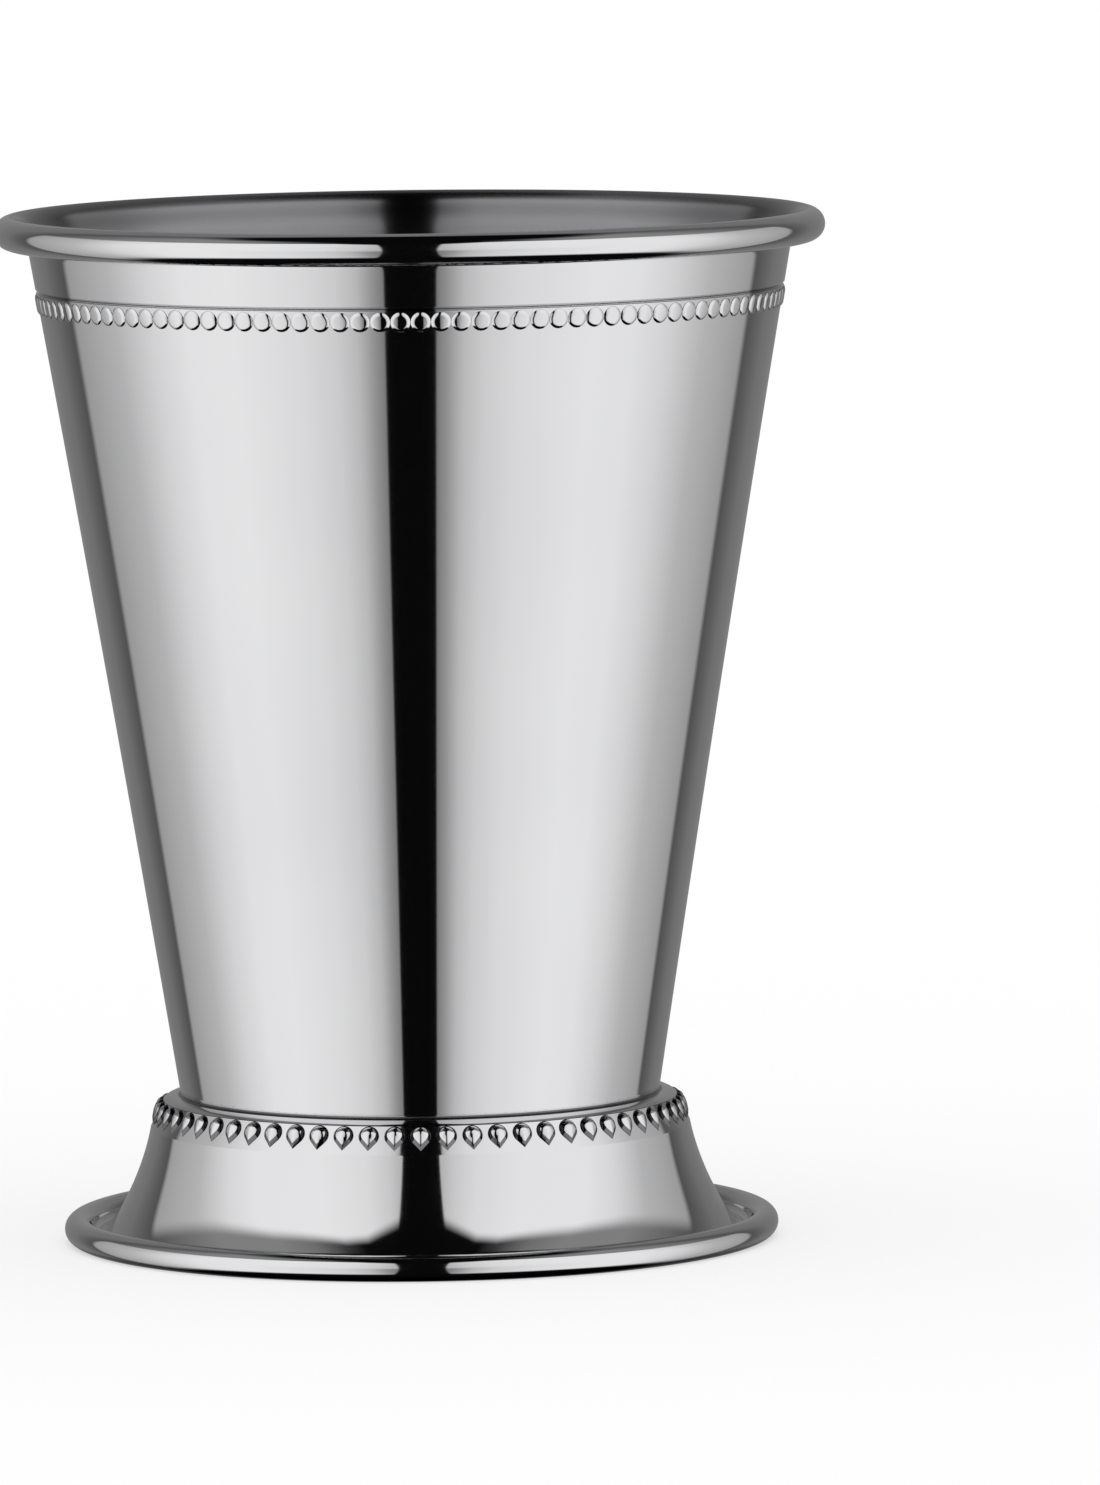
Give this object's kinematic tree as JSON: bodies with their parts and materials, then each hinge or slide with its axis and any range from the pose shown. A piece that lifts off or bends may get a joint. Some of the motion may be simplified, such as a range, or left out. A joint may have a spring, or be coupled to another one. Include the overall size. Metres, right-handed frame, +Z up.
{
  "type": "julep cup",
  "caption": "Footed metal julep cup: tapered wall with a rolled rim, a bead row under the rim, and a hollow flared foot with a row of drops on its shoulder.",
  "frame": {"origin": "centre of the ring on which the foot stands, in the plane of the table", "axes": "+Z up along the cup's axis, from the foot to the rim; the cup looks the same from all sides, apart from its bead rows, which have a bead on +X"},
  "size_m": [0.093, 0.093, 0.1155],
  "materials": {
    "polished_wall": "mirror polished steel",
    "polished_foot": "mirror polished steel",
    "beading": "mirror polished steel",
    "satin_floor": "satin steel",
    "wire": "drawn steel wire",
    "solder": "polished solder"
  },
  "bodies": {
    "root": {"body_wall": "polished_wall", "rim_wire": "wire", "body_floor": "satin_floor", "floor_solder": "solder", "upper_bead_strip": "beading", "foot_shell": "polished_foot", "foot_wire": "wire", "foot_drop_strip": "beading", "joint_solder": "solder"}
  },
  "joints": []
}
